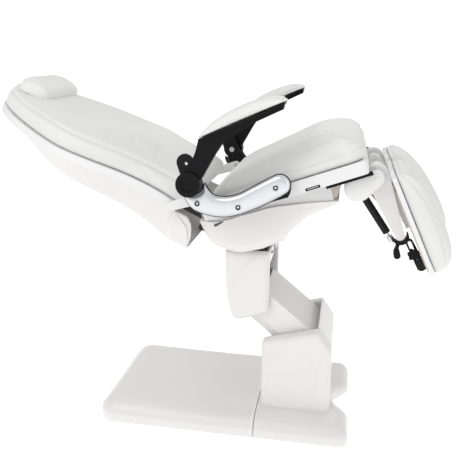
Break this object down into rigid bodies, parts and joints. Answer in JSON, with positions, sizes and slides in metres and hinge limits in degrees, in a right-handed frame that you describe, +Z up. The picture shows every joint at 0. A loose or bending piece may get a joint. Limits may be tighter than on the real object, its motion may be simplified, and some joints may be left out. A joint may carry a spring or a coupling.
{
  "type": "treatment chair",
  "caption": "Electric treatment chair with a crowned floor base, swinging lift arm and column, tilting seat, reclining back, folding armrests and split leg rests.",
  "frame": {"origin": "on the floor, under the middle of the base", "axes": "+X towards the feet, +Y to the sitter's left, +Z up"},
  "size_m": [1.5908, 0.768, 1.2509],
  "materials": {
    "cover_white": "satin moulded plastic",
    "trim_white": "gloss moulded plastic",
    "leatherette": "soft satin leatherette",
    "frame_steel": "black powder coat",
    "white_steel": "white powder coat",
    "pin_steel": "turned",
    "satin_aluminium": "satin anodised",
    "black_plastic": "fine grain",
    "black_paint": "satin black paint",
    "rubber": "matte",
    "actuator_grey": "matte"
  },
  "bodies": {
    "base": {"base_frame": "frame_steel", "base_feet": "rubber", "base_cover_rear": "cover_white", "base_cover_front": "cover_white", "pivot_bracket": "frame_steel", "base_pins": "pin_steel", "housing_cover": "cover_white", "control_box": "frame_steel"},
    "lift_arm": {"lift_arm_frame": "frame_steel", "lift_arm_cover": "cover_white"},
    "parallel_link": {"parallel_link": "frame_steel"},
    "lift_actuator": {"lift_actuator_body": "actuator_grey"},
    "lift_rod": {"lift_actuator_rod": "pin_steel"},
    "column": {"column_frame": "frame_steel", "column_pins": "pin_steel", "column_cover": "cover_white"},
    "tilt_actuator": {"tilt_actuator_body": "actuator_grey"},
    "tilt_rod": {"tilt_actuator_rod": "pin_steel"},
    "seat": {"seat_frame": "frame_steel", "seat_under_cover": "cover_white", "seat_trim": "trim_white", "seat_cushion": "leatherette", "seat_front_bars": "black_paint", "side_handle": "black_plastic", "arm_plate_right": "black_paint", "arm_plate_left": "black_paint", "arm_bracket_cover_right": "satin_aluminium", "arm_bracket_cover_left": "satin_aluminium", "bracket_screws": "pin_steel", "seat_pins": "pin_steel", "leg_brackets": "white_steel"},
    "backrest": {"back_frame": "white_steel", "back_shell": "cover_white", "back_trim": "trim_white", "back_cushion": "leatherette"},
    "back_actuator": {"back_actuator_body": "actuator_grey"},
    "back_rod": {"back_actuator_rod": "pin_steel"},
    "headrest": {"headrest_pillow": "leatherette"},
    "armrest_right": {"armrest_right": "black_plastic", "arm_pad_right": "leatherette", "arm_cap_right": "black_plastic"},
    "leg_arm_right": {"leg_arm_right": "white_steel"},
    "leg_pad_right": {"leg_shell_right": "trim_white", "leg_cushion_right": "leatherette", "slot_plate_right": "black_paint"},
    "star_knob_right": {"star_knob_right": "black_plastic"},
    "gas_spring_right": {"gas_spring_right": "black_paint"},
    "gas_rod_right": {"gas_rod_right": "pin_steel"},
    "gas_lever_right": {"gas_lever_right": "black_plastic"},
    "armrest_left": {"armrest_left": "black_plastic", "arm_pad_left": "leatherette", "arm_cap_left": "black_plastic"},
    "leg_arm_left": {"leg_arm_left": "white_steel"},
    "leg_pad_left": {"leg_shell_left": "trim_white", "leg_cushion_left": "leatherette", "slot_plate_left": "black_paint"},
    "star_knob_left": {"star_knob_left": "black_plastic"},
    "gas_spring_left": {"gas_spring_left": "black_paint"},
    "gas_rod_left": {"gas_rod_left": "pin_steel"},
    "gas_lever_left": {"gas_lever_left": "black_plastic"}
  },
  "joints": [
    {"name": "lift", "type": "hinge", "parent": "base", "child": "lift_arm", "pos_m": [0.296, 0, 0.318], "axis": [0, 1, 0], "range_deg": [-52, 0]},
    {"name": "link_turn", "type": "hinge", "parent": "base", "child": "parallel_link", "pos_m": [0.296, 0, 0.278], "axis": [0, 1, 0], "range_deg": [-52.5, 0.5]},
    {"name": "column_level", "type": "hinge", "parent": "lift_arm", "child": "column", "pos_m": [0.07627, 0, 0.50107], "axis": [0, 1, 0], "range_deg": [-0.5, 52.5]},
    {"name": "lift_actuator_turn", "type": "hinge", "parent": "base", "child": "lift_actuator", "pos_m": [0.352, 0, 0.134], "axis": [0, 1, 0], "range_deg": [-23, 1]},
    {"name": "lift_rod_slide", "type": "slide", "parent": "lift_actuator", "child": "lift_rod", "axis": [-0.5463, 0, 0.8376], "range_m": [-0.081, 0.001]},
    {"name": "seat_tilt", "type": "hinge", "parent": "column", "child": "seat", "pos_m": [0.075, 0, 0.72], "axis": [0, 1, 0], "range_deg": [0, 19.6]},
    {"name": "tilt_actuator_turn", "type": "hinge", "parent": "column", "child": "tilt_actuator", "pos_m": [0.105, 0, 0.59], "axis": [0, 1, 0], "range_deg": [-0.5, 10]},
    {"name": "tilt_rod_slide", "type": "slide", "parent": "tilt_actuator", "child": "tilt_rod", "axis": [0.2957, 0, 0.9553], "range_m": [-0.028, 0.001]},
    {"name": "recline", "type": "hinge", "parent": "seat", "child": "backrest", "pos_m": [-0.042, 0, 0.878], "axis": [0, 1, 0], "range_deg": [-43, 25]},
    {"name": "back_actuator_turn", "type": "hinge", "parent": "seat", "child": "back_actuator", "pos_m": [-0.085, 0, 0.738], "axis": [0, 1, 0], "range_deg": [-44, 26]},
    {"name": "back_rod_slide", "type": "slide", "parent": "back_actuator", "child": "back_rod", "axis": [-0.9007, 0, 0.4345], "range_m": [-0.104, 0.062]},
    {"name": "headrest_slide", "type": "slide", "parent": "backrest", "child": "headrest", "axis": [-0.9135, 0, 0.4067], "range_m": [-0.04, 0.03]},
    {"name": "armrest_right_fold", "type": "hinge", "parent": "seat", "child": "armrest_right", "pos_m": [-0.067, -0.35, 0.936], "axis": [0, 1, 0], "range_deg": [-95, 0]},
    {"name": "leg_right_raise", "type": "hinge", "parent": "seat", "child": "leg_arm_right", "pos_m": [0.486, -0.15, 0.945], "axis": [0, 1, 0], "range_deg": [-84, 10]},
    {"name": "leg_right_length", "type": "slide", "parent": "leg_arm_right", "child": "leg_pad_right", "axis": [0.4179, 0, -0.9085], "range_m": [0, 0.034]},
    {"name": "star_knob_right_turn", "type": "hinge", "parent": "leg_arm_right", "child": "star_knob_right", "pos_m": [0.6142, -0.205, 0.70457], "axis": [0, 1, 0], "continuous": true},
    {"name": "gas_spring_right_turn", "type": "hinge", "parent": "seat", "child": "gas_spring_right", "pos_m": [0.437, -0.134, 0.889], "axis": [0, 1, 0], "range_deg": [-76.2, 9.9]},
    {"name": "gas_rod_right_slide", "type": "slide", "parent": "gas_spring_right", "child": "gas_rod_right", "axis": [0.5666, 0, -0.824], "range_m": [-0.0129, 0.0938]},
    {"name": "gas_lever_right_press", "type": "hinge", "parent": "leg_arm_right", "child": "gas_lever_right", "pos_m": [0.56894, -0.17, 0.7575], "axis": [0, 1, 0], "range_deg": [0, 8]},
    {"name": "armrest_left_fold", "type": "hinge", "parent": "seat", "child": "armrest_left", "pos_m": [-0.067, 0.35, 0.936], "axis": [0, 1, 0], "range_deg": [-95, 0]},
    {"name": "leg_left_raise", "type": "hinge", "parent": "seat", "child": "leg_arm_left", "pos_m": [0.486, 0.15, 0.945], "axis": [0, 1, 0], "range_deg": [-78.2, 15.8]},
    {"name": "leg_left_length", "type": "slide", "parent": "leg_arm_left", "child": "leg_pad_left", "axis": [0.5075, 0, -0.8616], "range_m": [0, 0.034]},
    {"name": "star_knob_left_turn", "type": "hinge", "parent": "leg_arm_left", "child": "star_knob_left", "pos_m": [0.63784, 0.205, 0.71876], "axis": [0, 1, 0], "continuous": true},
    {"name": "gas_spring_left_turn", "type": "hinge", "parent": "seat", "child": "gas_spring_left", "pos_m": [0.437, 0.134, 0.889], "axis": [0, 1, 0], "range_deg": [-70.1, 15]},
    {"name": "gas_rod_left_slide", "type": "slide", "parent": "gas_spring_left", "child": "gas_rod_left", "axis": [0.6522, 0, -0.7581], "range_m": [-0.0191, 0.0866]},
    {"name": "gas_lever_left_press", "type": "hinge", "parent": "leg_arm_left", "child": "gas_lever_left", "pos_m": [0.58746, 0.17, 0.76684], "axis": [0, 1, 0], "range_deg": [0, 8]}
  ],
  "couplings": [
    {"joint": "link_turn", "follows": "lift", "ratio": 1},
    {"joint": "column_level", "follows": "lift", "ratio": -1},
    {"joint": "lift_actuator_turn", "follows": "lift", "ratio": 0.413},
    {"joint": "lift_rod_slide", "follows": "lift", "m_per_rad": 0.0872},
    {"joint": "tilt_actuator_turn", "follows": "seat_tilt", "ratio": 0.4723},
    {"joint": "tilt_rod_slide", "follows": "seat_tilt", "m_per_rad": -0.0761},
    {"joint": "back_actuator_turn", "follows": "recline", "ratio": 1},
    {"joint": "back_rod_slide", "follows": "recline", "m_per_rad": 0.1363},
    {"joint": "gas_spring_right_turn", "follows": "leg_right_raise", "ratio": 0.895},
    {"joint": "gas_rod_right_slide", "follows": "leg_right_raise", "m_per_rad": -0.0626},
    {"joint": "gas_spring_left_turn", "follows": "leg_left_raise", "ratio": 0.884},
    {"joint": "gas_rod_left_slide", "follows": "leg_left_raise", "m_per_rad": -0.062}
  ]
}
